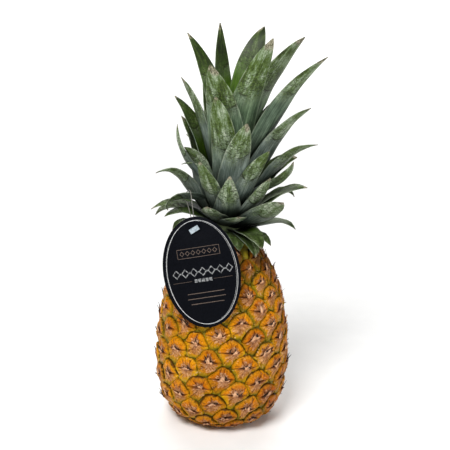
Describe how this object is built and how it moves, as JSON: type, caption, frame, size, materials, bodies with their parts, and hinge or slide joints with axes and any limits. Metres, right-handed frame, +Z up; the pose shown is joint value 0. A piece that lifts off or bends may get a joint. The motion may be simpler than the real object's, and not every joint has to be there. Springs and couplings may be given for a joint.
{
  "type": "pineapple with hang tag",
  "caption": "Whole ripe pineapple that stands on its cut base, with a leafy crown and an oval card tag on a thin cord.",
  "frame": {"origin": "middle of the flat cut base, where the fruit stands", "axes": "+Z up along the fruit's axis to the crown, -Y towards the front with the tag, +X to the right of that front"},
  "size_m": [0.1498, 0.1259, 0.36],
  "materials": {
    "rind": "waxy orange-yellow rind with olive grooves and dry brown bract tips",
    "cut_stalk": "dry fibrous cut stalk",
    "crown_leaf": "stiff grey-green leaf with a pale bloom, darker green inside",
    "tag_board": "satin black printed card with a thin silver line",
    "tag_plastic": "pale grey-blue moulded plastic",
    "cord": "thin pale elastic cord"
  },
  "bodies": {
    "root": {"fruit": "rind", "cut_stem": "cut_stalk", "crown": "crown_leaf", "tag_card": "tag_board", "tag_tab": "tag_plastic", "tag_cord": "cord"}
  },
  "joints": []
}
